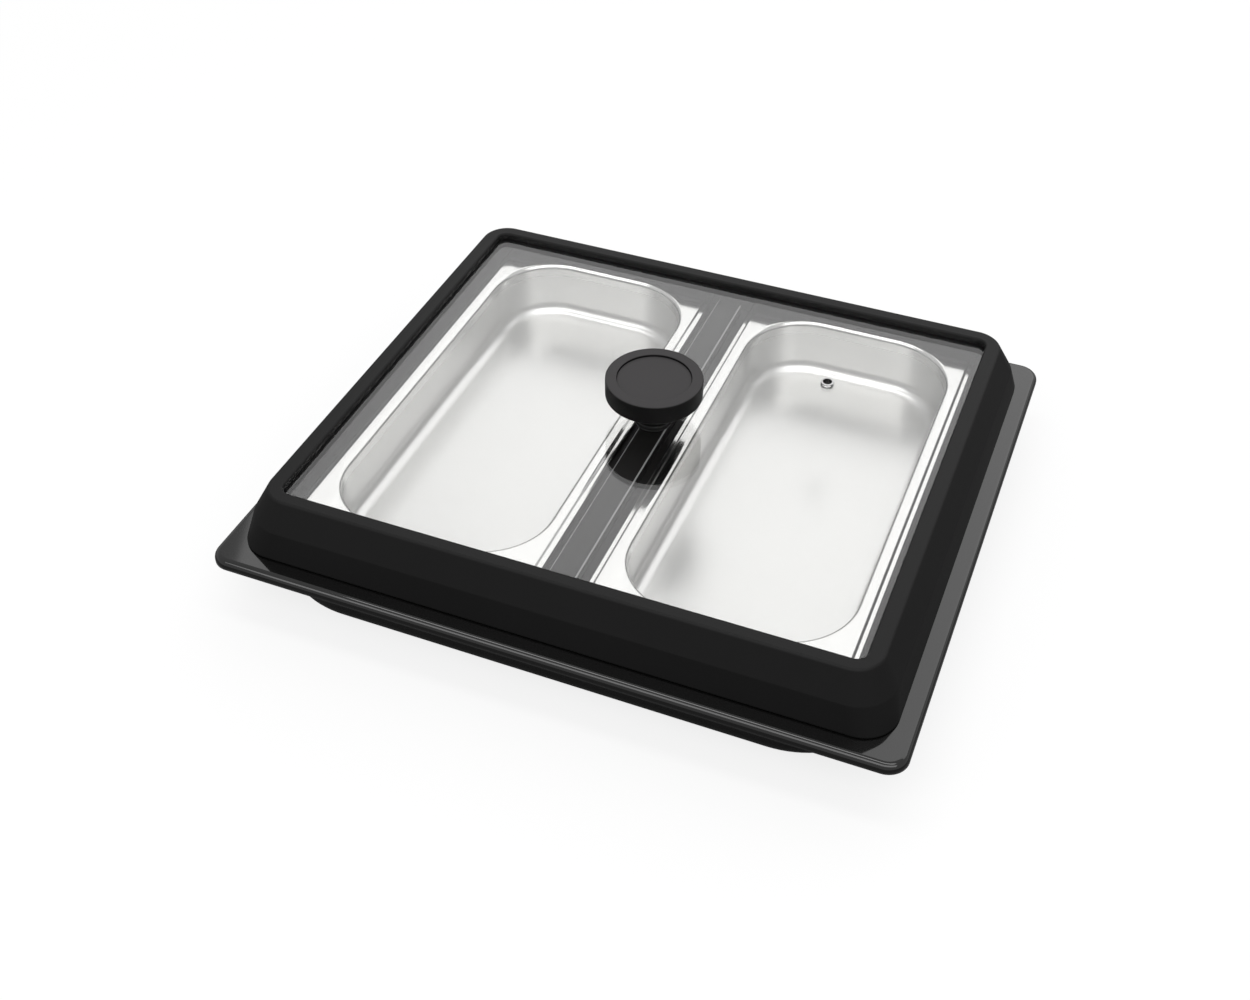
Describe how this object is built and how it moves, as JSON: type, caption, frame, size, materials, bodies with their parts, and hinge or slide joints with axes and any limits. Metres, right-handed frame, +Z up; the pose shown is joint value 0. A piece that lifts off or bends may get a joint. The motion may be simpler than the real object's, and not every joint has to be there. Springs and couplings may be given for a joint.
{
  "type": "electric buffet server",
  "caption": "Low electric buffet server: heated base with a rolled rim, side-by-side steel food pans in a raised deck, and a lift-off framed glass lid with a round knob and a steam vent.",
  "frame": {"origin": "middle of the plan, on the surface the rubber feet stand on", "axes": "+X to the right (longest extent), -Y to the front, +Z up"},
  "size_m": [0.4, 0.3528, 0.1002],
  "materials": {
    "panel_enamel": "gloss black enamel",
    "housing_paint": "satin black",
    "foot_rubber": "matt",
    "fastener_steel": "zinc plated",
    "pan_steel": "satin stainless",
    "frame_plastic": "fine-grained matt black",
    "lid_glass": "clear tempered",
    "knob_plastic": "matt black",
    "cap_plastic": "satin black",
    "brass": "plain",
    "seal_rubber": "silicone",
    "vent_metal": "polished",
    "heater_sheath": "heat-dulled",
    "ceramic": "unglazed ceramic",
    "bracket_steel": "galvanised",
    "reflector": "aluminised",
    "insulation": "fibre mat",
    "thermostat_plastic": "phenolic",
    "wire_sleeve": "silicone sleeve",
    "inlet_plastic": "black"
  },
  "bodies": {
    "base": {"base_panel": "panel_enamel", "base_housing": "housing_paint", "rubber_feet": "foot_rubber", "foot_screws": "fastener_steel", "panel_posts": "fastener_steel", "panel_screws": "fastener_steel", "heating_loop_left": "heater_sheath", "heating_loop_right": "heater_sheath", "loop_end_seals": "ceramic", "loop_end_pins": "fastener_steel", "loop_clips": "bracket_steel", "reflector_plate": "reflector", "insulation_mat": "insulation", "thermostat": "thermostat_plastic", "thermostat_clamp": "bracket_steel", "thermal_fuse": "ceramic", "fuse_clip": "bracket_steel", "terminal_block": "ceramic", "inner_wires": "wire_sleeve", "earth_stud": "brass", "power_inlet": "inlet_plastic", "inlet_pins": "brass", "inlet_screws": "fastener_steel"},
    "lid": {"lid_frame": "frame_plastic", "lid_glass": "lid_glass", "lid_knob": "knob_plastic", "knob_cap": "cap_plastic", "knob_insert": "brass", "knob_screw": "fastener_steel", "knob_washer": "fastener_steel", "knob_seals": "seal_rubber", "steam_vent": "vent_metal"},
    "left_pan": {"pan_left": "pan_steel"},
    "right_pan": {"pan_right": "pan_steel"}
  },
  "joints": [
    {"name": "lid_lift", "type": "slide", "parent": "base", "child": "lid", "axis": [0, 0, 1], "range_m": [0, 0.25]},
    {"name": "pan_left_lift", "type": "slide", "parent": "base", "child": "left_pan", "axis": [0, 0, 1], "range_m": [0, 0.1]},
    {"name": "pan_right_lift", "type": "slide", "parent": "base", "child": "right_pan", "axis": [0, 0, 1], "range_m": [0, 0.1]}
  ],
  "couplings": [
    {"joint": "pan_left_lift", "follows": "lid_lift", "ratio": 0.4},
    {"joint": "pan_right_lift", "follows": "lid_lift", "ratio": 0.4}
  ]
}
